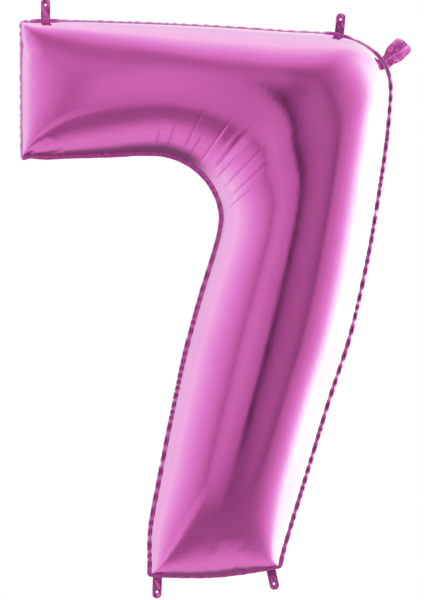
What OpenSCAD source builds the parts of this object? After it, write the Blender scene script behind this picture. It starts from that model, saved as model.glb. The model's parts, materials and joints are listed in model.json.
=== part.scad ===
// Foil number balloon, figure 7, filled with gas.
// X runs to the right, Y goes from the front face to the back, Z is up, in millimetres.
// The seam lies in the plane Y = 0 and the origin is the middle of the top right tab's hole.

/* [Figure] */
// Overall width of the filled figure, seam margin included
figure_w = 600; // [540:10:660]
// Overall height of the filled figure, seam margin included
figure_h = 900; // [810:10:990]
// Greatest depth of the filled figure from front to back, near the corner
figure_depth = 230; // [190:2:246]
// Radius of the inner bend between the bar and the stem
bend_r = 110; // [90:1:120]
// Length over which the bar's end and the stem's foot round off
end_cap = 75; // [60:5:110]
// How far the foot's lower edge bows down between its corners
foot_bow = 8; // [4:1:12]

/* [Foil] */
// Modelled thickness of one foil panel
foil_t = 0.5; // [0.4:0.05:0.8]
// Width of the heat-sealed margin round the figure
seam_w = 6; // [4:0.5:8]

/* [Tabs] */
// Width of a hanging tab
tab_w = 15; // [12:0.5:18]
// Length of a hanging tab, from its fold line
tab_len = 32; // [28:1:38]
// Radius of the hole in a tab
tab_hole_r = 2; // [1.5:0.1:3]
// Distance from the fold line to the middle of the hole
tab_hole_at = 22; // [18:0.5:24]

/* [Neck and valve] */
// Width of the inflation neck
neck_w = 32; // [28:1:36]
// Length of the inflation neck outside the seam
neck_len = 46; // [38:1:50]
// Direction in which the neck leaves the corner, above the horizontal
neck_angle = 45; // [38:1:52]
// Width of the valve's film tube
valve_w = 20; // [16:1:22]
// Length of the valve inside the balloon
valve_len = 130; // [100:5:150]
// Thickness of one valve film
valve_t = 0.2; // [0.15:0.05:0.25]

/* [Hidden] */
foil_pink = [0.80, 0.36, 0.68];
film_clear = [0.86, 0.88, 0.90];

// The outline is drawn 600 wide and 900 high, then stretched to the figure's size.
DRAWN = [600, 900];
BEND = [213, 572];
// Outer edge of the stroke: along the top, round the cut corner, down the right side
OUTER = [
    [0, 900], [80, 902], [160, 900], [240, 897], [330, 892], [425, 885], [512, 878],
    [566, 856], [596, 812], [595, 735], [580, 620], [562, 515], [536, 400], [500, 288],
    [468, 182], [440, 90], [420, 22]
];
// Inner edge, opposite the points above: under the bar, round the bend, down the left side
BEND_ANGLES = [76, 56, 38, 22, 8];
INNER = concat(
    [[2, 676], [68, 677], [136, 679], [200, 682]],
    [for (a = BEND_ANGLES) BEND + bend_r * [cos(a), sin(a)]],
    [[320, 562], [309, 522], [287, 452], [262, 360], [240, 258], [221, 160], [207, 78], [208, 8]]
);
LAST = len(OUTER) - 1;
RIB_GAP = 78;
CAP_STEPS = 8;
MID_STEPS = 44;
ACROSS = 16;

// The half depth grows with a power of the distance from either end, up to a crest that
// falls from the corner to the foot. All three are drawn for a depth of DRAWN_DEPTH.
DRAWN_DEPTH = 230;
END_POWER = 0.4;
END_RISE = [10.7, 12.6];
CREST = [119, 94];
CREST_FROM = 0.4;
CREST_BLEND = 12;
// How sharply the slope at an end meets the slopes of the sides
HIP = 4;
// At the corner the crest leans towards the inner edge, by this share of the width
CREST_LEAN = 0.06;
LEAN_AT = 7.8;
LEAN_SPAN = 1.1;

// Fold lines: [x, z, direction out of the figure, above the horizontal]
TOP_LEFT = [44, 901.4, 90];
TOP_RIGHT = [514, 878.6, 84];
BOTTOM_LEFT = [223, 6.6, -92];
BOTTOM_RIGHT = [405, 18.8, -78];
NECK = [589, 832, neck_angle];
fold_gap = 0.2;
fold_reach = 30;
fold_side = 1;
cut_over = 1;
neck_corner = 8;
round_fn = 48;
// The valve's back film is fixed as far as the flap's fold line, just inside the seam.
seam_slot = seam_w + 7;
flap_fold = seam_slot + fold_gap + valve_t / 2;
flap_lift = 0.1;

// Everything is placed from the hole of the top right tab.
hole = place(TOP_RIGHT) + tab_hole_at * [cos(TOP_RIGHT[2]), sin(TOP_RIGHT[2])];

function place(p) = [p[0] * figure_w / DRAWN[0], p[1] * figure_h / DRAWN[1]];

// Smooth curve through the points of list p, at position u counted in points
function curve_at(p, i, f) =
    let (a = p[max(i - 1, 0)], b = p[i], c = p[min(i + 1, LAST)], d = p[min(i + 2, LAST)])
    b + f / 2 * (c - a + f * (2 * a - 5 * b + 4 * c - d + f * (3 * b - 3 * c + d - a)));
function curve(p, u) = let (i = min(floor(u), LAST - 1)) curve_at(p, i, u - i);

// Stations along the stroke, crowded towards both ends
function end_u(i, inset) =
    (seam_w + inset + (end_cap - inset) * (1 - cos(90 * i / CAP_STEPS))) / RIB_GAP;
function stations(inset) =
    let (first = end_u(CAP_STEPS, inset))
    concat(
        [0],
        [for (i = [0:CAP_STEPS]) end_u(i, inset)],
        [for (i = [1:MID_STEPS - 1]) first + (LAST - 2 * first) * i / MID_STEPS],
        [for (i = [CAP_STEPS:-1:0]) LAST - end_u(i, inset)],
        [LAST]
    );

// Distances from position u to the seams at both ends
function to_ends(u, inset) =
    [for (v = [u, LAST - u]) max(v * RIB_GAP - seam_w - inset, 0)];

// Half depth at the middle of the stroke, at distances d from both ends
function crest(d) =
    let (
        along = (d[0] / (d[0] + d[1]) - CREST_FROM) / (1 - CREST_FROM),
        top = CREST[0] + (CREST[1] - CREST[0]) * max(along, 0),
        rises = [top, for (end = [0, 1]) END_RISE[end] * pow(d[end], END_POWER)]
    )
    figure_depth / DRAWN_DEPTH * pow(powers(rises, CREST_BLEND), -1 / CREST_BLEND);
function powers(v, n) = [for (x = v) pow(x, -n)] * [for (x = v) 1];

// Half depth at distances d from both ends, where side is the height of a round arch there
function swell(d, side) =
    let (from_end = pow(min(min(d) / end_cap, 1), END_POWER))
    from_end < 1e-3 || side < 1e-3 ? 0 :
    crest(d) / from_end * pow(powers([side, from_end], HIP) - 1, -1 / HIP);

// Height of a round arch at the share w of its span, and the crest's lean at position u
function arch(w) = 2 * sqrt(max(w * (1 - w), 0));
function lean(u) = CREST_LEAN * exp(-pow((u - LEAN_AT) / LEAN_SPAN, 2));

// Share of the foot's bow at distance d from the foot's seam
function bowed(d) = 1 - sqrt(min(d / end_cap, 1));

// One row of points across the stroke; lift is how far the margin lies in front of Y = 0
function row(u, inset, lift) =
    let (
        outer = place(curve(OUTER, u)),
        inner = place(curve(INNER, u)),
        wide = norm(inner - outer),
        along = (inner - outer) / wide,
        edge = seam_w + inset,
        d = to_ends(u, inset),
        bow = [0, -foot_bow * bowed(d[1])]
    )
    concat(
        [at_depth(outer, lift)],
        [for (k = [0:ACROSS])
            let (w = (1 - cos(180 * k / ACROSS)) / 2, side = arch(w - lean(u) * 4 * w * (1 - w)))
            at_depth(outer + along * (edge + (wide - 2 * edge) * w) + bow * sin(180 * w),
                     lift + max(swell(d, side) - foil_t, 0))],
        [at_depth(inner, lift)]
    );
function at_depth(p, depth) = [p[0] - hole[0], -depth, p[1] - hole[1]];

// Closed shell between an outer and an inner skin that share the same rows
module panel_shell() {
    out_rows = [for (s = stations(0)) row(s, 0, foil_t)];
    in_rows = [for (s = stations(foil_t)) row(s, foil_t, 0)];
    n = len(out_rows);
    m = len(out_rows[0]);
    points = concat([for (r = out_rows) each r], [for (r = in_rows) each r]);
    half = n * m;
    rim = concat(
        [for (j = [0:m - 2]) j],
        [for (i = [0:n - 2]) i * m + m - 1],
        [for (j = [m - 1:-1:1]) (n - 1) * m + j],
        [for (i = [n - 1:-1:1]) i * m]
    );
    faces = concat(
        [for (i = [0:n - 2], j = [0:m - 2])
            let (a = i * m + j, b = a + 1, c = a + m + 1, d = a + m)
            each [[a, b, c], [a, c, d], [half + a, half + c, half + b], [half + a, half + d, half + c]]],
        [for (k = [0:len(rim) - 1])
            let (a = rim[k], b = rim[(k + 1) % len(rim)])
            each [[a, half + b, b], [a, half + a, half + b]]]
    );
    polyhedron(points, faces);
}

// Puts children on a fold line: +X leads out of the figure, +Y stays the depth
module on_fold(fold) {
    translate([place(fold)[0] - hole[0], 0, place(fold)[1] - hole[1]])
        rotate([0, -fold[2], 0]) children();
}

// Room that a folding piece of the given width needs in the seam margin
module fold_room(width) {
    side = width + 2 * fold_side;
    translate([fold_reach / 2 - foil_t - fold_gap, 0, 0])
        cube([fold_reach, fold_reach, side], center = true);
}

// Slot in which the valve's two films pass between the sealed panels
module valve_slot() {
    translate([-seam_slot, -valve_t, -valve_w / 2])
        cube([seam_slot + seam_w, 2 * valve_t, valve_w]);
}

module front_half() {
    difference() {
        panel_shell();
        for (fold = [TOP_LEFT, TOP_RIGHT, BOTTOM_LEFT, BOTTOM_RIGHT]) on_fold(fold) fold_room(tab_w);
        on_fold(NECK) fold_room(neck_w);
        on_fold(NECK) valve_slot();
    }
}

// Flat ply in front of Y = 0 with a rounded free end and a rounded edge on the fold line
module ply(width, length, corner_r) {
    rotate([90, 0, 0]) linear_extrude(foil_t) {
        translate([0, -width / 2]) square([length - corner_r, width]);
        translate([length - corner_r, 0]) square([2 * corner_r, width - 2 * corner_r], center = true);
        for (side = [-1, 1])
            translate([length - corner_r, side * (width / 2 - corner_r)]) circle(corner_r, $fn = round_fn);
    }
    intersection() {
        cylinder(h = width, r = foil_t, center = true, $fn = round_fn);
        translate([-foil_t, -foil_t, -width / 2]) cube([1.2 * foil_t, foil_t, width]);
    }
}

module tab_front() {
    difference() {
        ply(tab_w, tab_len, tab_w / 2 - 0.5);
        translate([tab_hole_at, 0, 0]) rotate([90, 0, 0])
            cylinder(h = 3 * foil_t, r = tab_hole_r, center = true, $fn = round_fn);
    }
}

module front_ply_of(fold) { color(foil_pink) on_fold(fold) tab_front(); }
module back_ply_of(fold) { color(foil_pink) on_fold(fold) mirror([0, 1, 0]) tab_front(); }

module neck_front() {
    difference() {
        ply(neck_w, neck_len, neck_corner);
        translate([0, -valve_t, -valve_w / 2]) cube([neck_len + cut_over, valve_t + cut_over, valve_w]);
    }
}

// Film of the valve in front of Y = 0, between two distances from the neck's fold line
module film(from, to) {
    translate([from, -valve_t, -valve_w / 2]) cube([to - from, valve_t, valve_w]);
}

module front_panel() { color(foil_pink) front_half(); }
module back_panel() { color(foil_pink) mirror([0, 1, 0]) front_half(); }
module neck_front_ply() { color(foil_pink) on_fold(NECK) neck_front(); }
module neck_back_ply() { color(foil_pink) on_fold(NECK) mirror([0, 1, 0]) neck_front(); }
module valve_inlet_front_film() { color(film_clear) on_fold(NECK) film(0, neck_len); }
module valve_inlet_back_film() {
    color(film_clear) on_fold(NECK) mirror([0, 1, 0]) film(0, neck_len);
}
module valve_front_film() {
    color(film_clear) on_fold(NECK) film(-seam_slot - valve_len, -foil_t - fold_gap);
}
module valve_back_film() {
    color(film_clear) on_fold(NECK) mirror([0, 1, 0]) film(-seam_slot, -foil_t - fold_gap);
}
// Free end of the back film, which lifts off the front film when a filling tube goes in
module valve_flap() {
    color(film_clear) on_fold(NECK) translate([0, flap_lift, 0]) {
        mirror([0, 1, 0]) film(-seam_slot - valve_len, -flap_fold);
        translate([-flap_fold, valve_t / 2, 0])
            cylinder(h = valve_w, r = valve_t / 2, center = true, $fn = 32);
    }
}

front_panel();
back_panel();
front_ply_of(TOP_LEFT);  // top_left_tab_front_ply
back_ply_of(TOP_LEFT);  // top_left_tab_back_ply
front_ply_of(TOP_RIGHT);  // top_right_tab_front_ply
back_ply_of(TOP_RIGHT);  // top_right_tab_back_ply
front_ply_of(BOTTOM_LEFT);  // bottom_left_tab_front_ply
back_ply_of(BOTTOM_LEFT);  // bottom_left_tab_back_ply
front_ply_of(BOTTOM_RIGHT);  // bottom_right_tab_front_ply
back_ply_of(BOTTOM_RIGHT);  // bottom_right_tab_back_ply
neck_front_ply();
neck_back_ply();
valve_inlet_front_film();
valve_inlet_back_film();
valve_front_film();
valve_back_film();
valve_flap();
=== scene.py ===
"""Foil number balloon, figure 7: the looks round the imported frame, in metres, front face towards -Y."""
import json
import math
import bpy
import numpy as np
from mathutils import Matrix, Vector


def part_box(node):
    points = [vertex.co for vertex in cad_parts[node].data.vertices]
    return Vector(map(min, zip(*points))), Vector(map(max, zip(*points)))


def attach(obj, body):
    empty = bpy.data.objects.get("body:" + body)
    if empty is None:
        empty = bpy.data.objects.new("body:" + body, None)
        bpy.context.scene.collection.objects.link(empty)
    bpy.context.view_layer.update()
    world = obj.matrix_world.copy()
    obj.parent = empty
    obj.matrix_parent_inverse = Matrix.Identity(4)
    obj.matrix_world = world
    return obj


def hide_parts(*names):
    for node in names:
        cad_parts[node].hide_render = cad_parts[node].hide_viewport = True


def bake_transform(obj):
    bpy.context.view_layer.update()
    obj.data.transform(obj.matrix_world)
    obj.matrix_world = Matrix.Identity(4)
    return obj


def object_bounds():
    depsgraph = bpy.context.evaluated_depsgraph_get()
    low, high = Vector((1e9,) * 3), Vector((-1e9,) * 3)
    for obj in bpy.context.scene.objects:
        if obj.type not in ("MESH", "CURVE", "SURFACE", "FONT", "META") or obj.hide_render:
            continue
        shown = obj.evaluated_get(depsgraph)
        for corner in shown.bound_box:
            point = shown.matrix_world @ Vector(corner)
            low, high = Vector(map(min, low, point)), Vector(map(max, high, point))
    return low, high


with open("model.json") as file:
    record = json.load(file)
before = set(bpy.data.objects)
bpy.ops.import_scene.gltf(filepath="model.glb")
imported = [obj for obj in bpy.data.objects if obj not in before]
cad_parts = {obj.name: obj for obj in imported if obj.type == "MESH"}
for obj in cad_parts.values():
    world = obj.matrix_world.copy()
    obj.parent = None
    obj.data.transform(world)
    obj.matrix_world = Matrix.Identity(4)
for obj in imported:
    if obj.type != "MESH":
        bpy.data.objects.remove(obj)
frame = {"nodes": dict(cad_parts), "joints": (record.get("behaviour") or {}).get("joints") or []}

CAD_BOX = [list(corner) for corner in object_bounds()]
JOINTS = {joint["name"]: joint for joint in frame["joints"]}
MM = 0.001

# ---------------------------------------------------------------- the figure's outline
# The outline is drawn in millimetres as the CAD source draws it, and placed by the fold
# line of the top right tab, which both share.
TOP_RIGHT_DRAWN = np.array([514.0, 878.6])
BEND, BEND_R = np.array([213.0, 572.0]), 110.0
BEND_ANGLES = np.radians([76, 56, 38, 22, 8])
OUTER = np.array([
    [0, 900], [80, 902], [160, 900], [240, 897], [330, 892], [425, 885], [512, 878],
    [566, 856], [596, 812], [595, 735], [580, 620], [562, 515], [536, 400], [500, 288],
    [468, 182], [440, 90], [420, 22]], float)
INNER = np.vstack([
    [[2, 676], [68, 677], [136, 679], [200, 682]],
    BEND + BEND_R * np.c_[np.cos(BEND_ANGLES), np.sin(BEND_ANGLES)],
    [[320, 562], [309, 522], [287, 452], [262, 360], [240, 258], [221, 160], [207, 78], [208, 8]]])
LAST = len(OUTER) - 1
SEAM_W = 6 * MM
DEPTH = 2 * max(-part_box("front_panel")[0].y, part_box("back_panel")[1].y)
FOOT_BOW = 8 * MM

OUTER_WEIGHT = 0.6     # the running length counts the outer edge this much, the inner the rest
FINE_COUNT = 1601      # ribs along the stroke when places on it are looked up

# ---------------------------------------------------------------- the flat cut and its filling
MESH_STEP = 9 * MM
RIBS_PER_STEP = 1.15
WIDEST_CUT = 0.34      # metres across the flat stroke, which sets the points across
FLARE = 90 * MM        # how far from an end the cut reaches its full width
END_CAP = 90 * MM      # how far from an end the cut has spare length for the round end
END_SPARE = 0.2        # share of the round end's length that the cut adds there
SIDE_SPARE = 0.85      # share of the round stroke's half girth that the cut adds there
BEND_PULL = 0.07       # how much shorter the seam is cut inside the bend
BEND_AT, BEND_SPAN = 6.0, 3.0
FIT_BLUR = 30 * MM     # ripples shorter than this stay when the filled bag meets the outline
CLOTH_FRAMES = 24
CLOTH = {
    "quality": 6, "mass": 0.001 * (MESH_STEP / 0.014) ** 2,
    "tension_stiffness": 40, "compression_stiffness": 40, "shear_stiffness": 20,
    "bending_stiffness": 0.02, "tension_damping": 5, "compression_damping": 5,
    "shear_damping": 5, "bending_damping": 0.5, "air_damping": 2,
    "use_pressure": True, "uniform_pressure_force": 6}
FINEST_WAVE = 4 * MM    # the simulated bag's waves much shorter than this are left out
WRINKLE_BLUR = 16 * MM  # and those longer than this
WRINKLE_KEEP = 0.3      # share of the waves' height that is shown
MIDDLE_CALM = 0.95      # how far they are eased away from the ends
CALM_IN, CALM_OUT = (0.6, 2.0), (14.4, 15.6)   # places along the stroke where that starts and ends

# ---------------------------------------------------------------- the filled shape
END_REACH = 75 * MM     # how far in from an end its roundness reaches
HIP = 4.0               # how sharply an end's slope meets the sides' slopes
END_POWER = 0.4         # the height near an end grows with this power of the distance
END_BLEND = 8.0         # how sharply the end's slope meets the full height
END_RISE = (0.170, 0.200)   # at the bar's end and at the foot
CREST = (0.119, 0.094)      # greatest half depth at the corner and at the foot
CREST_FROM = 0.4            # share of the stroke's length from which it falls towards the foot
CREST_BLEND = 12.0
CREST_LEAN = 0.06       # how far the crest lies inside the middle at the corner, as a share
LEAN_AT, LEAN_SPAN = 7.8, 1.1
SHARPER = (4, 2)        # how many times finer the shown grid is, along and across the stroke

# Each crease: its rib, where across the stroke it starts and ends (1 is the inner seam), its depth.
CREASES = (
    (3.4, 0.86, 0.77, 0.2), (3.85, 0.88, 0.72, 0.3), (4.45, 0.84, 0.66, 0.35),
    (4.8, 0.88, 0.74, 0.3), (5.3, 0.86, 0.68, 0.4), (5.95, 0.83, 0.66, 0.4),
    (6.35, 0.88, 0.75, 0.3), (6.95, 0.86, 0.68, 0.35), (7.6, 0.84, 0.69, 0.3),
    (8.1, 0.87, 0.76, 0.2))
CREASE_WIDE = 2.1 * MM
CREASE_RIM = 0.35       # height of the raised rims beside a crease, as a share of its depth

# ---------------------------------------------------------------- margin, tabs and neck
CALM = 0.22             # share of the full rippling where the margin is calm
LEAN_BACK = 0.75        # radians
RIPPLE_LONG = 18 * MM
RIPPLE_LEAN = 0.75
ROOT_CALM = (13 * MM, 30 * MM)   # ripples and leaning grow over this distance from a tab or the neck
MARGIN_ROWS = (0.34, 0.67, 1.0)  # shares of the margin's width
MARGIN_GAP = 0.3 * MM   # from the seam plane to the margin's outer face
PLY_GAP = 0.15 * MM     # the same on the tabs and the neck, which start between the margin's plies
FILM_T = 0.12 * MM
PLY_T = 0.08 * MM
TAB_W, TAB_LEN = 15 * MM, 32 * MM
TAB_HOLE_AT, TAB_HOLE_R = 22 * MM, 2 * MM
TAB_ROOT = 5 * MM       # how far a tab's ply runs back over the sealed margin
# Each tab's curl to the front and the seed of its crumple.
TABS = {"top_left": (0.05, 1), "top_right": (-0.08, 2), "bottom_left": (0.1, 3),
        "bottom_right": (-0.12, 4)}
NECK_LEN, NECK_HALF, NECK_WAIST = 45 * MM, 16 * MM, 10.5 * MM
NECK_ROOT = 6 * MM
NECK_CORNER = 9 * MM
MOUTH_GAPE = 2.2 * MM
VALVE_HALF = 10 * MM

# ---------------------------------------------------------------- colours
FOIL_DEEP, FOIL_LIGHT = (0.61, 0.108, 0.43), (0.66, 0.135, 0.48)
SEAL_DEEP = (0.50, 0.09, 0.36)
# painted shade: a darker foil colour laid along the bend creases, where their valleys fall into shade
CREASE_PAINTED_SHADE = (0.50, 0.07, 0.34)
BARE_DEEP, BARE_LIGHT = (0.62, 0.61, 0.63), (0.74, 0.73, 0.75)
CLEAR_DEEP, CLEAR_LIGHT = (0.82, 0.84, 0.88), (0.92, 0.93, 0.95)
FLOOR_DEEP, FLOOR_LIGHT = (0.80, 0.80, 0.80), (0.84, 0.84, 0.84)

# ---------------------------------------------------------------- light, camera, floor
# Light by direction, as (degrees, level): sideways from straight in front, left negative,
# and upwards, below negative. The levels are set for the tones that the foil shows.
SIDE_LEVELS = (
    (-180, 0.5), (-155, 0.8), (-125, 2.2), (-102, 2.9), (-81, 2.0), (-64, 1.35), (-50, 1.0),
    (-41, 0.8), (-36, 0.64), (-31, 0.88), (-22, 0.95), (-13, 0.85), (-6, 0.78), (-3, 0.68),
    (-1.2, 0.26), (1.5, 0.16), (5, 0.33), (10, 0.51), (16, 0.60), (23, 0.65), (30, 0.63), (37, 0.54),
    (43, 0.39), (45.5, 0.60), (48, 0.76), (57, 0.93), (66, 1.3), (73, 2.2), (80.5, 4.0), (90, 7.4),
    (108, 6.4), (180, 0.9))
LIFT_LEVELS = (
    (-180, 0.14), (-160, 0.16), (-130, 0.4), (-104, 1.3), (-84, 1.4), (-67, 1.07), (-52, 0.64),
    (-38, 0.54), (-25, 0.76), (-12, 0.9), (0, 1.0), (25, 1.04), (38, 0.98), (46, 0.84), (52, 0.76),
    (60, 0.84), (67, 1.08), (84, 1.75), (98, 2.7), (112, 3.8), (135, 3.2), (155, 2.0), (180, 1.4))
LIFT_SHARE = 0.85       # the lift levels' share straight above and below
# The fill panel, from straight in front down to the lower left. The face inside the bend mirrors it.
FILL_LEVELS = (
    (-180, 0), (5, 0.0), (20, 0.9), (27, 0.8), (35, 0.8), (43, 1.05), (52, 1.25), (62, 1.65),
    (73, 2.0), (87, 1.85), (100, 1.4), (120, 0.7), (150, 0.3))
FILL_STEEP = ((14, 30), (52, 40))   # degrees down from the left over which it comes and goes
FILL_OFF = (24, 34)     # degrees off straight in front over which it comes
# Tint of the light panels by their level, as the foil shows them: bright ones look paler.
PANEL_TINTS = (
    (0, (1, 0.78, 0.93)), (0.55, (1, 0.82, 0.95)), (1.0, (1, 1, 1)), (1.25, (0.88, 1, 0.955)),
    (1.6, (0.73, 1, 0.85)), (2.0, (0.62, 1, 0.73)), (2.4, (0.53, 1, 0.63)), (3.4, (0.42, 1, 0.51)))
LEVEL_TOP = 8.0
STRIP_FADE = 0.52       # the dark gap's level above and below the middle
STRIP_BELOW, STRIP_ABOVE = (-11, -18), (14, 30)     # degrees of lift over which it fades
IN_FRONT = (25, 42)     # degrees off straight in front, from the front's light to the light around
SIDEWAYS = (0.25, 0.95) # from above or below, to beside
CORNER_GROW = 0.14      # the panel above reaches lower on the right
GROW_ACROSS = ((-0.24, -0.05), (0.5, 0.2))   # x over which that comes and goes
GROW_UP = (0, 0.3)      # z over which it comes
CORNER_DIM = 0.26       # how much dimmer the light is at the upper right
DIM_TURN, DIM_LIFT, DIM_OFF = (4, 12), (10, 24), (58, 44)   # degrees over which it comes, or goes
WHITE = (1, 1, 1, 1)
CAMERA_AT = (-0.206, -3.5, -0.449)
LENS, SENSOR = 87.5, 24.0
FLOOR_DROP = 0.3
FLOOR_R, FLOOR_CORNERS = 2.1, 96


def spline(points, u):
    """Points on the smooth curve through the given points, at positions u counted in points."""
    i = np.minimum(u.astype(int), LAST - 1)
    f = (u - i)[:, None]
    a, b = points[np.maximum(i - 1, 0)], points[i]
    c, d = points[np.minimum(i + 1, LAST)], points[np.minimum(i + 2, LAST)]
    return b + f / 2 * (c - a + f * (2 * a - 5 * b + 4 * c - d + f * (3 * b - 3 * c + d - a)))


def running_length(points):
    return np.r_[0, np.cumsum(np.linalg.norm(np.diff(points, axis=0), axis=1))]


def to_row(drawn):
    """Drawn millimetres to the row frame's X and Z, in metres."""
    fold = JOINTS["top_right_tab_fold"]["pos_m"]
    return (drawn - TOP_RIGHT_DRAWN) * MM + np.array([fold[0], fold[2]])


class Ribs:
    """Rows across the stroke, by their places u along it: margin edges, seams and distances."""

    def __init__(self, u):
        self.u = u
        outer, inner = to_row(spline(OUTER, u)), to_row(spline(INNER, u))
        self.along = (OUTER_WEIGHT * running_length(outer)
                      + (1 - OUTER_WEIGHT) * running_length(inner))
        self.from_foot = self.along[-1] - self.along
        across = inner - outer
        self.wide = np.linalg.norm(across, axis=1)
        self.across = across / self.wide[:, None]
        self.seam_out = outer + self.across * SEAM_W
        self.seam_in = inner - self.across * SEAM_W


def fine_ribs():
    """Ribs all along the stroke, from the seam at one end to the seam at the other."""
    whole = Ribs(np.linspace(0, LAST, FINE_COUNT))
    seams = np.interp([SEAM_W, whole.along[-1] - SEAM_W], whole.along, whole.u)
    return Ribs(np.linspace(*seams, FINE_COUNT))


FINE_RIBS = fine_ribs()


def even_ribs(step):
    """Ribs evenly spaced along the stroke."""
    length = FINE_RIBS.along[-1]
    places = np.linspace(0, length, int(RIBS_PER_STEP * length / step))
    return Ribs(np.interp(places, FINE_RIBS.along, FINE_RIBS.u))


def bunched(ribs):
    """The same number of ribs, crowded towards both ends as a round end's steps are."""
    def crowd(distance):
        turn = np.clip(distance / END_REACH, 0, 1) * math.pi / 2
        return np.where(distance < END_REACH, END_REACH * (1 - np.cos(turn)), distance)

    total = ribs.along[-1]
    places = np.where(ribs.along < total / 2, crowd(ribs.along), total - crowd(ribs.from_foot))
    return Ribs(np.interp(places, FINE_RIBS.along, FINE_RIBS.u))


def quarter_girth(a, b):
    """A quarter of the girth of an ellipse with half axes a and b."""
    h = ((a - b) / (a + b)) ** 2
    return math.pi / 4 * (a + b) * (1 + 3 * h / (10 + np.sqrt(4 - 3 * h)))


def flat_cut(ribs, across_count):
    """Grid of the flat panel: each rib laid flat, the stroke straightened as filling will bend it."""
    def share(distance):
        v = np.clip(1 - distance / FLARE, 0, 1)
        return np.sqrt(1 - v * v)

    half = ribs.wide / 2 - SEAM_W
    rise = DEPTH / 2 * share(ribs.along) * share(ribs.from_foot)
    flat_half = half + SIDE_SPARE * (quarter_girth(half, rise) - half)
    middle = (ribs.seam_out + ribs.seam_in) / 2
    tangent = np.gradient(middle, axis=0)
    step = np.linalg.norm(np.diff(middle, axis=0), axis=1)
    heading = np.unwrap(np.arctan2(tangent[:, 1], tangent[:, 0]))
    fan = np.unwrap(np.arctan2(ribs.across[:, 1], ribs.across[:, 0]))
    keep = 1 - BEND_PULL * np.exp(-((ribs.u - BEND_AT) / BEND_SPAN) ** 4)
    mean = lambda v: (v[1:] + v[:-1]) / 2
    turn = (mean(keep) * mean(half) * np.diff(fan) - (1 - mean(keep)) * step) / mean(flat_half)
    flat_fan = fan[0] + np.r_[0, np.cumsum(turn)]
    flat_heading = flat_fan + heading - fan
    go = mean(flat_heading)
    centre = middle[0] + np.r_[
        [[0, 0]], np.cumsum(step[:, None] * np.c_[np.cos(go), np.sin(go)], axis=0)]
    rib = np.c_[np.cos(flat_fan), np.sin(flat_fan)] * flat_half[:, None]
    t = np.linspace(-1, 1, across_count)
    grid = centre[:, None] + rib[:, None] * t[None, :, None]
    crown = DEPTH / 2 * np.sqrt(1 - t * t) + 1e-6
    spare = END_SPARE * (quarter_girth(END_CAP, crown) - END_CAP)
    for distance, angle, sign in ((ribs.along, flat_heading[0], -1),
                                  (ribs.from_foot, flat_heading[-1], 1)):
        near = np.clip(1 - distance / (1.2 * END_CAP), 0, 1)
        out = sign * np.array([math.cos(angle), math.sin(angle)])
        grid = grid + near[:, None, None] * spare[None, :, None] * out
    return grid


def bag_faces(ids, flip):
    a, b, c, d = ids[:-1, :-1], ids[:-1, 1:], ids[1:, 1:], ids[1:, :-1]
    return np.stack([a, d, c, b] if flip else [a, b, c, d], -1).reshape(-1, 4)


def fill_with_gas(grid):
    """Blows up two flat panels that share their seam, and returns the grids of both."""
    rows, cols = grid.shape[:2]
    inside = np.zeros((rows, cols), bool)
    inside[1:-1, 1:-1] = True
    front = np.arange(rows * cols).reshape(rows, cols)
    back = front.copy()
    back[inside] = rows * cols + np.arange(inside.sum())
    co = np.zeros((rows * cols + inside.sum(), 3))
    start = np.where(inside, -MM, 0)
    co[front.ravel()] = np.c_[grid[..., 0].ravel(), start.ravel(), grid[..., 1].ravel()]
    co[back[inside]] = np.c_[grid[..., 0][inside], np.full(inside.sum(), MM), grid[..., 1][inside]]
    faces = np.vstack([bag_faces(front, False), bag_faces(back, True)])
    bag = new_object("bag", co, faces)
    cloth = bag.modifiers.new("gas", "CLOTH")
    film = cloth.settings
    for key, value in CLOTH.items():
        setattr(film, key, value)
    film.effector_weights.gravity = 0
    cloth.collision_settings.use_collision = False
    cloth.point_cache.frame_end = CLOTH_FRAMES + 1
    scene = bpy.context.scene
    scene.frame_end = CLOTH_FRAMES + 1
    for number in range(1, CLOTH_FRAMES + 1):
        scene.frame_set(number)
    filled = bag.evaluated_get(bpy.context.evaluated_depsgraph_get()).data
    out = np.empty(len(filled.vertices) * 3)
    filled.vertices.foreach_get("co", out)
    out = out.reshape(-1, 3)
    bpy.data.objects.remove(bag, do_unlink=True)
    scene.frame_set(1)
    return out[front], out[back]


def filled_shape(ribs, across_count):
    """The smooth filled shape: oval across the stroke, and hipped at both ends like a pillow."""
    t = np.linspace(0, math.pi, across_count)
    w = (1 - np.cos(t)) / 2
    flat = ribs.seam_out[:, None] * (1 - w)[None, :, None] + ribs.seam_in[:, None] * w[None, :, None]
    tiny = 1e-5
    from_ends = [np.maximum(d, tiny) for d in (ribs.along, ribs.from_foot)]
    bow = FOOT_BOW * (1 - np.clip(from_ends[1] / END_REACH, 0, 1) ** 0.5)
    flat[..., 1] -= bow[:, None] * np.sin(math.pi * w)[None, :]
    crest = np.interp(ribs.along / ribs.along[-1], (CREST_FROM, 1.0), CREST)
    rises = [rise * d ** END_POWER for rise, d in zip(END_RISE, from_ends)]
    height = sum(r ** -CREST_BLEND for r in (crest, *rises)) ** (-1 / CREST_BLEND)
    ends = (np.minimum(*from_ends) / END_REACH) ** END_POWER
    ends = (1 + ends ** -END_BLEND) ** (-1 / END_BLEND)
    lean = CREST_LEAN * np.exp(-((ribs.u - LEAN_AT) / LEAN_SPAN) ** 2)
    leant = w[None, :] - 4 * lean[:, None] * (w * (1 - w))[None, :]
    side = 2 * np.sqrt(np.clip(leant * (1 - leant), 0, 1)) + tiny
    share = (side ** -HIP + ends[:, None] ** -HIP - 1) ** (-1 / HIP)
    rise = (height / ends)[:, None] * share
    rise[:, [0, -1]] = rise[[0, -1]] = 0
    front = np.stack([flat[..., 0], -rise, flat[..., 1]], -1)
    return front, front * np.array([1, -1, 1])


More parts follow.
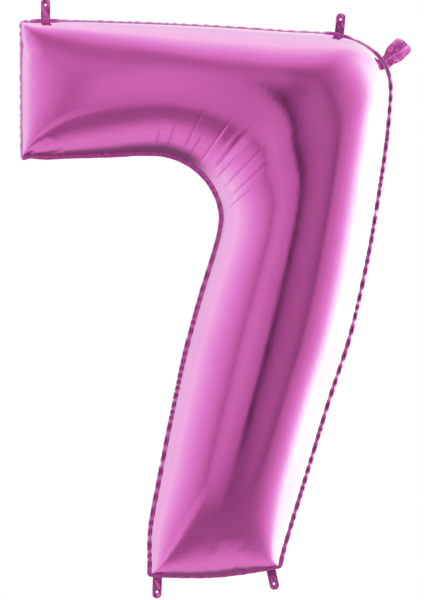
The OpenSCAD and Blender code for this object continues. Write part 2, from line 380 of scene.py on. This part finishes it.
def wrinkles(sheet, places):
    """The simulated sheet's short waves, eased away from the ends, where the foil is taut."""
    rows, cols = sheet.shape[:2]
    step = np.linalg.norm(np.diff(sheet[:, cols // 2], axis=0), axis=1).mean()
    flat = sheet.reshape(rows, -1)
    waves = blur_rows(flat, FINEST_WAVE / step) - blur_rows(flat, WRINKLE_BLUR / step)
    calm = smooth(places, *CALM_IN) * (1 - smooth(places, *CALM_OUT))
    return waves.reshape(sheet.shape) * (WRINKLE_KEEP * (1 - MIDDLE_CALM * calm))[:, None, None]


def normals_of(grid, side):
    """Unit normals of a grid, outward: side is -1 in front."""
    n = np.cross(np.gradient(grid, axis=0), np.gradient(grid, axis=1))
    n /= np.maximum(np.linalg.norm(n, axis=2), 1e-12)[..., None]
    return n * np.sign(n[..., 1].sum() * side)


def bend_creases(grid, side, places):
    """Adds the fine creases inside the bend, and returns the grid and the shade painted along the creases
    at each point.
    """
    rows, cols = grid.shape[:2]
    t = np.linspace(0, 1, cols)
    u = np.interp(np.linspace(0, 1, rows), np.linspace(0, 1, len(places)), places)
    out, painted_shade = np.zeros((2, rows, cols))
    for place, start, end, deep in CREASES:
        row = np.argmin(np.abs(u - place))
        line = grid[row]
        away = np.sign(np.arange(rows) - row)[:, None] * np.linalg.norm(grid - line[None], axis=2)
        across = smooth(t, end - 0.08, end + 0.02) * (1 - smooth(t, start - 0.04, start + 0.03))
        line = across[None] * np.exp(-(away / CREASE_WIDE) ** 2)
        # painted shade: the foil's colour is darkened along each crease line
        painted_shade = np.maximum(painted_shade, line)
        out -= deep * MM * line
        beside = (np.abs(away) - 3 * CREASE_WIDE) / (2 * CREASE_WIDE)
        out += CREASE_RIM * deep * MM * across[None] * np.exp(-beside ** 2)
    return grid + out[..., None] * normals_of(grid, side), painted_shade


def blur_rows(rows, sigma):
    """Gaussian blur down the first axis, mirrored at both ends."""
    reach = int(3 * sigma) + 1
    bell = np.exp(-0.5 * (np.arange(-reach, reach + 1) / sigma) ** 2)
    bell /= bell.sum()
    padded = np.vstack([2 * rows[0] - rows[reach:0:-1], rows, 2 * rows[-1] - rows[-2:-reach - 2:-1]])
    return sum(weight * padded[k:k + len(rows)] for k, weight in enumerate(bell))


def fit_to_outline(front, back, ribs):
    """Turns and eases the filled bag until its seam lies on the outline, ripples kept."""
    goal_out = np.insert(ribs.seam_out, 1, 0, axis=1)
    goal_in = np.insert(ribs.seam_in, 1, 0, axis=1)
    have = np.vstack([front[:, 0], front[:, -1]])
    goal = np.vstack([goal_out, goal_in])
    u, _, vt = np.linalg.svd((have - have.mean(0)).T @ (goal - goal.mean(0)))
    keep = np.diag([1, 1, np.sign(np.linalg.det(u @ vt))])
    spin = u @ keep @ vt
    front, back = [(g - have.mean(0)) @ spin + goal.mean(0) for g in (front, back)]
    sigma = FIT_BLUR / (ribs.along[-1] / len(ribs.u))
    move_out = blur_rows(goal_out - front[:, 0], sigma)
    move_in = blur_rows(goal_in - front[:, -1], sigma)
    t = np.linspace(0, 1, front.shape[1])[None, :, None]
    move = move_out[:, None] * (1 - t) + move_in[:, None] * t
    return front + move, back + move


def finer(grid, k_rows, k_cols):
    """Smooth upsampling of a grid of points, k times along each axis."""
    for axis, k in ((0, k_rows), (1, k_cols)):
        g = np.moveaxis(grid, axis, 0)
        u = np.linspace(0, len(g) - 1, (len(g) - 1) * k + 1)
        i = np.minimum(u.astype(int), len(g) - 2)
        f = (u - i)[:, None, None]
        a, b = g[np.maximum(i - 1, 0)], g[i]
        c, d = g[i + 1], g[np.minimum(i + 2, len(g) - 1)]
        g = b + f / 2 * (c - a + f * (2 * a - 5 * b + 4 * c - d + f * (3 * b - 3 * c + d - a)))
        grid = np.moveaxis(g, 0, axis)
    return grid


# ---------------------------------------------------------------- meshes
def new_object(name, points, faces):
    mesh = bpy.data.meshes.new(name)
    mesh.from_pydata(np.asarray(points).tolist(), [], np.asarray(faces).tolist())
    mesh.update()
    obj = bpy.data.objects.new(name, mesh)
    bpy.context.scene.collection.objects.link(obj)
    mesh.polygons.foreach_set("use_smooth", [True] * len(mesh.polygons))
    return obj


def thicken(obj, thickness, inner_slot):
    """Gives a film its thickness on the inner side, which shows the bare metallised face."""
    solid = obj.modifiers.new("film", "SOLIDIFY")
    solid.thickness = thickness
    solid.offset = -1
    solid.material_offset = inner_slot
    return solid


def ring_ids(ids):
    """Indices round the edge of a grid, as one loop."""
    return np.r_[ids[:, 0], ids[-1, 1:], ids[-2::-1, -1], ids[0, -2:0:-1]]


def loop_noise(share, waves, seed):
    """Smooth noise from -1 to 1 at shares of the way round a loop, with that many waves."""
    knots = np.random.default_rng(seed).uniform(-1, 1, waves)
    u = share * waves
    i = u.astype(int)
    f = u - i
    f = f * f * (3 - 2 * f)
    return knots[i % waves] * (1 - f) + knots[(i + 1) % waves] * f


def margin_rows(ring, wavy, leaning, roots):
    """Rows of the sealed margin outside the seam: a ring of points, rippled out of its plane."""
    ahead = np.roll(ring, -1, axis=0) - np.roll(ring, 1, axis=0)
    flat = np.stack([ahead[:, 0], ahead[:, 2]], 1)
    flat /= np.linalg.norm(flat, axis=1)[:, None]
    out = np.stack([-flat[:, 1], np.zeros(len(ring)), flat[:, 0]], 1)
    if ((ring - ring.mean(0)) * out).sum() < 0:
        out = -out
    gaps = np.linalg.norm(np.roll(ring, -1, axis=0) - ring, axis=1)
    share = np.r_[0, np.cumsum(gaps)[:-1]] / gaps.sum()
    waves = np.cumsum(gaps / (RIPPLE_LONG * (1 + 0.55 * loop_noise(share, 110, 3))))
    waves *= round(waves[-1]) / waves[-1]
    calm = np.ones(len(ring))
    for root in roots:
        near = np.linalg.norm(ring - np.array(root), axis=1)
        calm *= smooth(near, *ROOT_CALM)
    strength = wavy * (0.6 + 0.4 * loop_noise(share, 90, 4)) * calm
    lean = leaning * calm + RIPPLE_LEAN * strength * np.sin(2 * math.pi * waves)
    rows = []
    for part in MARGIN_ROWS:
        reach = SEAM_W * part * (1 + 0.06 * loop_noise(share, 200, 5))
        angle = lean * part ** 0.7
        rows.append(ring + out * (reach * np.cos(angle))[:, None]
                    + np.array([0, 1, 0]) * (reach * np.sin(angle))[:, None])
    return rows


def margin_state(places, cols):
    """How strongly the margin ripples and how far it leans back, as grids: most ripples are down
    the right and low on the left, and the margin leans back along the top and the bar's end."""
    wavy = np.full((len(places), cols), 1.6 * CALM)
    wavy[:, 0] = CALM + (1 - CALM) * smooth(places, 7.0, 9.5)
    wavy[:, -1] = CALM + (1 - CALM) * smooth(places, 9.5, 12.5)
    leaning = np.zeros((len(places), cols))
    leaning[:, 0] = LEAN_BACK * (1 - smooth(places, 6.2, 8.0))
    leaning[0] = LEAN_BACK
    return wavy, leaning


def foil_panel(name, grid, side, places, roots):
    """One foil panel: the domed grid and the sealed margin round it. side is -1 in front."""
    rows, cols = grid.shape[:2]
    ids = np.arange(rows * cols).reshape(rows, cols)
    loop = ring_ids(ids)
    points = [grid.reshape(-1, 3)]
    faces = [bag_faces(ids, side > 0)]
    dome_faces = len(faces[0])
    previous, start = loop, rows * cols
    u = np.interp(np.linspace(0, 1, rows), np.linspace(0, 1, len(places)), places)
    wavy, leaning = [state.reshape(-1)[loop] for state in margin_state(u, cols)]
    for row in margin_rows(grid.reshape(-1, 3)[loop], wavy, leaning, roots):
        points.append(row + np.array([0, side * MARGIN_GAP, 0]))
        this = start + np.arange(len(loop))
        quad = np.stack([previous, np.roll(previous, -1), np.roll(this, -1), this], 1)
        faces.append(quad if side < 0 else quad[:, ::-1])
        previous, start = this, start + len(loop)
    obj = new_object(name, np.vstack(points), np.vstack(faces))
    slots = np.zeros(len(obj.data.polygons), int)
    slots[dome_faces:] = 1
    for material in (FOIL, SEAL, BARE):
        obj.data.materials.append(material)
    obj.data.polygons.foreach_set("material_index", slots)
    thicken(obj, FILM_T, 2)
    return obj


class Fold:
    """A fold line: its middle, the way out of the figure, and the line's own direction."""

    def __init__(self, joint):
        self.at = np.array(JOINTS[joint]["pos_m"])
        axis = JOINTS[joint]["axis"]
        self.axis = np.array(axis)
        self.out = np.array([-axis[2], 0, axis[0]])

    def place(self, u, v, w):
        """Points u out from the line, v along it and w in front of the seam plane."""
        u, v, w = np.broadcast_arrays(u, v, w)
        return (self.at + u[..., None] * self.out + v[..., None] * self.axis
                - w[..., None] * np.array([0, 1, 0]))


def strip_object(name, points, materials, side, drop=None):
    """A grid of points as a film piece facing front or back, without the cells that drop marks."""
    ids = np.arange(points.shape[0] * points.shape[1]).reshape(points.shape[:2])
    faces = bag_faces(ids, side > 0)
    if drop is not None:
        faces = faces[~drop.reshape(-1)]
    used, compact = np.unique(faces, return_inverse=True)
    obj = new_object(name, points.reshape(-1, 3)[used], compact.reshape(-1, 4))
    for material in materials:
        obj.data.materials.append(material)
    return obj


def tab_ply(name, fold, side, curl, seed):
    """One ply of a hanging tab, rounded at its end, punched, and slightly crumpled."""
    rng = np.random.default_rng(seed)
    radius = TAB_W / 2 - 0.5 * MM
    u_line = np.linspace(-TAB_ROOT, TAB_LEN, 62)
    v_line = np.linspace(-1, 1, 25)
    past = np.clip(u_line - (TAB_LEN - radius), 0, radius * 0.985)
    half = TAB_W / 2 - radius + np.sqrt(radius ** 2 - past ** 2)
    u, v = np.meshgrid(u_line, v_line, indexing="ij")
    v = v * half[:, None]
    from_hole = np.hypot(u - TAB_HOLE_AT, v)
    drop = (from_hole[:-1, :-1] + from_hole[1:, 1:]) / 2 < TAB_HOLE_R
    rim = np.abs(from_hole - TAB_HOLE_R) < 0.45 * MM
    grow = np.where(rim, TAB_HOLE_R / np.maximum(from_hole, 1e-6), 1)
    u, v = TAB_HOLE_AT + (u - TAB_HOLE_AT) * grow, v * grow
    free = np.clip(u / TAB_LEN, 0, 1)
    blend = free * free * (3 - 2 * free)
    phase = rng.uniform(0, 6, 3)
    bend = curl * free ** 2 * TAB_LEN
    crumple = (0.5 * MM * np.sin(u / (3.1 * MM) + 1.6 * v / TAB_W * 3 + phase[0])
               + 0.35 * MM * np.sin(v / (1.9 * MM) + phase[1] + u / (7 * MM))) * blend
    depth = bend + crumple - side * PLY_GAP
    return strip_object(name, fold.place(u, v, depth), (FOIL, BARE), side, drop)


def smooth(v, low, high):
    w = np.clip((v - low) / (high - low), 0, 1)
    return w * w * (3 - 2 * w)


def neck_shape(u, v):
    """How far the gathered, curled neck stands in front of the seam plane at u out, v across."""
    out = smooth(u, 0, 16 * MM)
    side = v / NECK_HALF
    gathers = 0.9 * MM * np.sin(6.5 * side + 0.8) * smooth(u, -2 * MM, 3 * MM) * (1 - 0.75 * out)
    crease = -2.6 * MM * np.exp(-((side + 0.25 - 0.5 * u / NECK_LEN) / 0.22) ** 2) * out
    roll = 7.5 * MM * smooth(side, 0.15, 1.25) * out - 3.5 * MM * smooth(-side, 0.2, 1.2) * out
    tip = -5 * MM * smooth(u, 24 * MM, 50 * MM) * (1 - 0.8 * side)
    wavy = 0.45 * MM * np.sin(u / (2.6 * MM) + 2.2 * side) * out
    return gathers + crease + roll + tip + wavy


def neck_half(u):
    """Half width of the neck at u out: gathered at the root, full in the paddle, round at its end."""
    past = np.clip(u - (NECK_LEN - NECK_CORNER), 0, NECK_CORNER * 0.98)
    trim = NECK_CORNER - np.sqrt(NECK_CORNER ** 2 - past ** 2)
    return NECK_WAIST + (NECK_HALF - NECK_WAIST) * smooth(u, 3 * MM, 20 * MM) - trim


def neck_ply(name, fold, side):
    """One foil ply of the neck; the plies gape apart at the mouth."""
    u = np.linspace(-NECK_ROOT, NECK_LEN, 72)
    u, v = np.meshgrid(u, np.linspace(-1, 1, 41), indexing="ij")
    gape = MOUTH_GAPE * smooth(u, 12 * MM, NECK_LEN) * (1 - v ** 4) / 2
    v = v * neck_half(u)
    depth = neck_shape(u, v) - side * (gape + PLY_GAP)
    return strip_object(name, fold.place(u, v, depth), (FOIL, BARE), side)


def inlet_film(name, fold, side):
    """One clear valve film between the neck's plies, ending short of the mouth."""
    u = np.linspace(1 * MM, NECK_LEN - 3 * MM, 48)
    u, v = np.meshgrid(u, np.linspace(-1, 1, 17), indexing="ij")
    gape = 0.35 * MOUTH_GAPE * smooth(u, 12 * MM, NECK_LEN) * (1 - v ** 4) / 2
    v = v * np.minimum(VALVE_HALF, neck_half(u) - 1.5 * MM)
    depth = neck_shape(u, v) - side * (gape + 0.04 * MM)
    return strip_object(name, fold.place(u, v, depth), (CLEAR,), side)


# ---------------------------------------------------------------- materials
class Nodes:
    """A few words for building a material's or the world's nodes."""

    def __init__(self, tree):
        self.tree = tree
        tree.nodes.clear()

    def add(self, kind, inputs=(), **settings):
        node = self.tree.nodes.new(kind)
        for key, value in settings.items():
            setattr(node, key, value)
        for key, value in dict(inputs).items():
            if isinstance(value, bpy.types.NodeSocket):
                self.tree.links.new(value, node.inputs[key])
            else:
                node.inputs[key].default_value = value
        return node

    def math(self, operation, *values):
        return self.add("ShaderNodeMath", enumerate(values), operation=operation).outputs[0]

    def times(self, *values):
        product = values[0]
        for value in values[1:]:
            product = self.math("MULTIPLY", product, value)
        return product

    def noise(self, where, scale, detail=2.0, rough=0.5, distortion=0.0):
        inputs = {"Vector": where, "Scale": scale, "Detail": detail, "Roughness": rough,
                  "Distortion": distortion}
        return self.add("ShaderNodeTexNoise", inputs).outputs["Fac"]

    def spread(self, value, low, high, to_low=0.0, to_high=1.0, kind="SMOOTHSTEP"):
        inputs = {"Value": value, "From Min": low, "From Max": high, "To Min": to_low, "To Max": to_high}
        return self.add("ShaderNodeMapRange", inputs, interpolation_type=kind).outputs["Result"]

    def turning(self, angle, start, end, to_low=0.0, to_high=1.0):
        """A smooth step over an angle, from start to end in degrees."""
        return self.spread(angle, math.radians(start), math.radians(end), to_low, to_high)

    def between(self, first, second, share):
        return self.add("ShaderNodeMix", {"Factor": share, "A": first, "B": second}).outputs["Result"]

    def levels(self, angle, stops):
        """A curve of light levels over an angle from -180 to 180 degrees."""
        place = self.spread(angle, -math.pi, math.pi, kind="LINEAR")
        ramp = self.add("ShaderNodeValToRGB", {"Fac": place})
        self.stops(ramp, [((degrees + 180) / 360, (level / LEVEL_TOP,) * 3 + (1,))
                          for degrees, level in stops])
        return self.math("MULTIPLY", ramp.outputs["Color"], LEVEL_TOP)

    def stops(self, ramp, stops):
        """Gives a colour ramp its stops, the first of them at the ramp's start."""
        elements = ramp.color_ramp.elements
        elements.remove(elements[1])
        for number, (place, colour) in enumerate(stops):
            element = elements.new(place) if number else elements[0]
            element.color = colour

    def colours(self, value, first, second):
        ramp = self.add("ShaderNodeValToRGB", {"Fac": value})
        ramp.color_ramp.elements[0].color = (*first, 1)
        ramp.color_ramp.elements[1].color = (*second, 1)
        return ramp.outputs["Color"]

    def bump(self, height, distance, strength=1.0, normal=None):
        inputs = {"Height": height, "Distance": distance, "Strength": strength}
        if normal is not None:
            inputs["Normal"] = normal
        return self.add("ShaderNodeBump", inputs).outputs["Normal"]


def material(name, paint):
    made = bpy.data.materials.new(name)
    made.use_nodes = True
    nodes = Nodes(made.node_tree)
    shader = nodes.add("ShaderNodeBsdfPrincipled")
    place = nodes.add("ShaderNodeTexCoord").outputs["Object"]
    for key, value in paint(nodes, place).items():
        if isinstance(value, bpy.types.NodeSocket):
            made.node_tree.links.new(value, shader.inputs[key])
        else:
            shader.inputs[key].default_value = value
    nodes.add("ShaderNodeOutputMaterial", {"Surface": shader.outputs[0]})
    return made


def paint_foil(nodes, place):
    """Orchid lacquered metallised film: a mirror with faint creasing and uneven gloss, and shade painted
    darker along the bend creases.
    """
    cloud = nodes.noise(place, 9.0, 3.0)
    creases = nodes.noise(place, 42.0, 4.0, 0.55, 0.6)
    orange_peel = nodes.noise(place, 260.0, 2.0)
    normal = nodes.bump(creases, 0.00014)
    normal = nodes.bump(orange_peel, 0.00006, 1.0, normal)
    # painted shade: the base colour darkens along the bend creases, by the crease attribute
    crease = nodes.add("ShaderNodeAttribute", attribute_name="crease").outputs["Fac"]
    colour = nodes.add("ShaderNodeMix", {"Factor": crease}, data_type="RGBA")
    nodes.tree.links.new(nodes.colours(cloud, FOIL_DEEP, FOIL_LIGHT), colour.inputs[6])
    colour.inputs[7].default_value = (*CREASE_PAINTED_SHADE, 1)
    return {"Base Color": colour.outputs[2],
            "Metallic": 1.0,
            "Roughness": nodes.spread(nodes.noise(place, 24.0, 4.0), 0.25, 0.75, 0.08, 0.15),
            "Normal": normal, "Coat Weight": 0.35, "Coat Roughness": 0.08}


def paint_seal(nodes, place):
    """The heat-sealed margin: the same foil, pressed with the sealing bar's fine ribs."""
    ribs = nodes.add("ShaderNodeTexWave", {"Vector": place, "Scale": 420.0, "Distortion": 0.6},
                     bands_direction="DIAGONAL").outputs["Fac"]
    normal = nodes.bump(ribs, 0.00012)
    normal = nodes.bump(nodes.noise(place, 120.0, 3.0), 0.0006, 1.0, normal)
    return {"Base Color": nodes.colours(nodes.noise(place, 60.0, 2.0), SEAL_DEEP, FOIL_DEEP),
            "Metallic": 1.0,
            "Roughness": nodes.spread(nodes.noise(place, 80.0, 3.0), 0.3, 0.7, 0.2, 0.34),
            "Normal": normal, "Coat Weight": 0.2, "Coat Roughness": 0.15}


def paint_bare(nodes, place):
    """The film's silvery inner face."""
    return {"Base Color": nodes.colours(nodes.noise(place, 30.0), BARE_DEEP, BARE_LIGHT),
            "Metallic": 1.0,
            "Roughness": nodes.spread(nodes.noise(place, 70.0, 3.0), 0.3, 0.7, 0.2, 0.32),
            "Normal": nodes.bump(nodes.noise(place, 90.0, 3.0), 0.0004)}


def paint_clear(nodes, place):
    """Milky polyethylene of the valve, with faint draw lines along it."""
    lines = nodes.add("ShaderNodeMapping", {"Vector": place, "Scale": (30.0, 30.0, 420.0)})
    drawn = nodes.noise(lines.outputs[0], 1.0, 3.0)
    return {"Base Color": nodes.colours(nodes.noise(place, 50.0), CLEAR_DEEP, CLEAR_LIGHT),
            "Roughness": nodes.spread(drawn, 0.3, 0.7, 0.18, 0.34),
            "Alpha": nodes.spread(nodes.noise(place, 35.0), 0.2, 0.8, 0.4, 0.6),
            "Normal": nodes.bump(drawn, 0.0002),
            "IOR": 1.51}


FOIL = material("orchid_foil", paint_foil)
SEAL = material("sealed_margin", paint_seal)
BARE = material("bare_film_face", paint_bare)
CLEAR = material("valve_film", paint_clear)


# ---------------------------------------------------------------- light, camera, floor
class Way:
    """A direction, taken apart: x, z, its turn, its lift and its angle off straight in front."""

    def __init__(self, nodes):
        way = nodes.add("ShaderNodeTexCoord").outputs["Generated"]
        self.x, y, self.z = nodes.add("ShaderNodeSeparateXYZ", {"Vector": way}).outputs
        ahead = nodes.math("MULTIPLY", y, -1.0)
        level = nodes.math("ADD", ahead, nodes.math("ABSOLUTE", self.x))
        self.turn = nodes.math("ARCTAN2", self.x, ahead)
        self.lift = nodes.math("ARCTAN2", self.z, level)
        self.off = nodes.math("ARCCOSINE", ahead)


def corner_growth(nodes, way):
    """How much larger a lift counts at the upper right, where the panel above reaches lower."""
    come, go = GROW_ACROSS
    grow = nodes.times(nodes.spread(way.x, *come), nodes.spread(way.x, *go),
                       nodes.spread(way.z, *GROW_UP, 0, CORNER_GROW))
    return nodes.math("ADD", grow, 1.0)


def light_in_front(nodes, way, grow):
    """Light near straight in front: the side's level times the lift's level."""
    beside = nodes.levels(way.turn, SIDE_LEVELS)
    far = nodes.math("MAXIMUM", nodes.turning(way.lift, *STRIP_BELOW),
                     nodes.turning(way.lift, *STRIP_ABOVE))
    beside = nodes.between(beside, nodes.math("MAXIMUM", beside, STRIP_FADE), far)
    return nodes.times(beside, nodes.levels(nodes.times(way.lift, grow), LIFT_LEVELS))


def light_around(nodes, way, grow):
    """Light far from straight in front: the side's levels beside, the lift's above and below."""
    beside = nodes.levels(nodes.times(way.off, nodes.math("SIGN", way.x)), SIDE_LEVELS)
    upward = nodes.levels(nodes.times(way.off, grow, nodes.math("SIGN", way.z)), LIFT_LEVELS)
    upward = nodes.times(upward, LIFT_SHARE)
    xx, zz = nodes.times(way.x, way.x), nodes.times(way.z, way.z)
    sideways = nodes.math("DIVIDE", xx, nodes.math("ADD", nodes.math("ADD", xx, zz), 1e-4))
    return nodes.between(upward, beside, nodes.spread(sideways, *SIDEWAYS))


def fill_light(nodes, way):
    """The fill panel at the lower left."""
    steep = nodes.math("ARCTAN2", nodes.times(way.z, -1.0), nodes.times(way.x, -1.0))
    come, go = FILL_STEEP
    window = nodes.times(nodes.turning(steep, *come), nodes.turning(steep, *go),
                         nodes.turning(way.off, *FILL_OFF))
    return nodes.times(nodes.levels(way.off, FILL_LEVELS), window)


def corner_share(nodes, way):
    """The share of the light that is left at the upper right."""
    dim = nodes.times(nodes.turning(way.turn, *DIM_TURN), nodes.turning(way.lift, *DIM_LIFT),
                      nodes.turning(way.off, *DIM_OFF, 0, CORNER_DIM))
    return nodes.math("SUBTRACT", 1.0, dim)


def panel_tint(nodes, light, in_gloss):
    """The light's tint: by its level in a gloss, and white elsewhere."""
    ramp = nodes.add("ShaderNodeValToRGB", {"Fac": nodes.math("DIVIDE", light, LEVEL_TOP)})
    nodes.stops(ramp, [(level / LEVEL_TOP, (*tint, 1)) for level, tint in PANEL_TINTS])
    tint = nodes.add("ShaderNodeMix", {"Factor": in_gloss}, data_type="RGBA")
    tint.inputs[6].default_value = WHITE
    nodes.tree.links.new(ramp.outputs["Color"], tint.inputs[7])
    return tint.outputs[2]


def studio():
    """Studio surround: a calm front, light panels left, right and above, and a white backdrop."""
    world = bpy.data.worlds.new("studio")
    bpy.context.scene.world = world
    world.use_nodes = True
    nodes = Nodes(world.node_tree)
    way = Way(nodes)
    grow = corner_growth(nodes, way)
    light = nodes.between(light_in_front(nodes, way, grow), light_around(nodes, way, grow),
                          nodes.turning(way.off, *IN_FRONT))
    light = nodes.math("MAXIMUM", light, fill_light(nodes, way))
    light = nodes.times(light, corner_share(nodes, way))
    ray = nodes.add("ShaderNodeLightPath").outputs
    tint = panel_tint(nodes, light, ray["Is Glossy Ray"])
    plain = nodes.add("ShaderNodeBackground", {"Color": WHITE, "Strength": 1.0})
    lit = nodes.add("ShaderNodeBackground", {"Color": tint, "Strength": light})
    both = nodes.add("ShaderNodeMixShader",
                     {0: ray["Is Camera Ray"], 1: lit.outputs[0], 2: plain.outputs[0]})
    nodes.add("ShaderNodeOutputWorld", {"Surface": both.outputs[0]})


def camera():
    data = bpy.data.cameras.new("camera")
    data.sensor_fit, data.sensor_height, data.lens = "VERTICAL", SENSOR, LENS
    made = bpy.data.objects.new("camera", data)
    made.location = CAMERA_AT
    made.rotation_euler = (math.pi / 2, 0, 0)
    bpy.context.scene.collection.objects.link(made)
    bpy.context.scene.camera = made


def paint_floor(nodes, place):
    return {"Base Color": nodes.colours(nodes.noise(place, 3.0), FLOOR_DEEP, FLOOR_LIGHT),
            "Roughness": nodes.spread(nodes.noise(place, 40.0), 0.3, 0.7, 0.6, 0.8)}


def floor():
    """A pale disc under the hanging balloon."""
    low, high = CAD_BOX
    turn = np.linspace(0, 2 * math.pi, FLOOR_CORNERS + 1)[:-1]
    z = low[2] - FLOOR_DROP
    x, y = (low[0] + high[0]) / 2, (low[1] + high[1]) / 2
    rim = np.c_[x + FLOOR_R * np.cos(turn), y + FLOOR_R * np.sin(turn), np.full(FLOOR_CORNERS, z)]
    made = new_object("floor", rim, [list(range(FLOOR_CORNERS))])
    made.data.materials.append(material("pale_floor", paint_floor))
    made.visible_glossy = False


# ---------------------------------------------------------------- the balloon
def margin_roots():
    """Where the tabs and the neck leave the margin."""
    names = [place + "_tab_fold" for place in TABS] + ["neck_fold"]
    return [JOINTS[name]["pos_m"] for name in names]


def panel_piece(name, sheet, side, places):
    """One panel with its creases, and the attribute that paints shade on the foil along them."""
    fine, painted_shade = bend_creases(finer(sheet, *SHARPER), side, places)
    panel = foil_panel(name, fine, side, places, margin_roots())
    # painted shade along the creases, stored for the foil's colour
    shade = panel.data.attributes.new("crease", "FLOAT", "POINT")
    plain = np.zeros(len(panel.data.vertices) - painted_shade.size)
    shade.data.foreach_set("value", np.r_[painted_shade.ravel(), plain])
    return panel


def make_balloon():
    """Both panels: the smooth filled shape, with the short waves of a bag cut flat and blown up."""
    ribs = even_ribs(MESH_STEP)
    across_count = int(WIDEST_CUT / MESH_STEP) // 2 * 2 + 1
    cut = flat_cut(ribs, across_count)
    crowded = bunched(ribs)
    sheets = filled_shape(crowded, across_count)
    filled = fit_to_outline(*fill_with_gas(cut), ribs)
    sheets = [sheet + wrinkles(rough, ribs.u) for sheet, rough in zip(sheets, filled)]
    for place, sheet, side in (("front", sheets[0], -1), ("back", sheets[1], 1)):
        panel = panel_piece(place + "_foil", sheet, side, crowded.u)
        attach(panel, "envelope")
        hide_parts(place + "_panel")


def make_tabs():
    for place, (curl, seed) in TABS.items():
        fold = Fold(place + "_tab_fold")
        for ply, side in (("front", -1), ("back", 1)):
            name = f"{place}_tab_{ply}_ply"
            made = tab_ply(f"{place}_tab_{ply}_foil", fold, side, curl, seed)
            thicken(made, PLY_T, 1)
            fold_over(made)
            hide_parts(name)


def fold_over(piece):
    """Bakes a piece's placement into its own mesh."""
    bpy.context.view_layer.update()
    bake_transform(piece)


def make_neck():
    fold = Fold("neck_fold")
    for ply, side in (("front", -1), ("back", 1)):
        made = neck_ply(f"neck_{ply}_foil", fold, side)
        thicken(made, PLY_T, 1)
        fold_over(made)
        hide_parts(f"neck_{ply}_ply")
        film = inlet_film(f"inlet_{ply}_clear", fold, side)
        fold_over(film)
        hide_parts(f"valve_inlet_{ply}_film")


def paint_valve():
    for node in ("valve_front_film", "valve_back_film", "valve_flap"):
        mesh = frame["nodes"][node].data
        for number in range(len(mesh.materials)):
            mesh.materials[number] = CLEAR


studio()
camera()
floor()
make_balloon()
make_tabs()
make_neck()
paint_valve()
bpy.context.scene.view_settings.view_transform = "Standard"
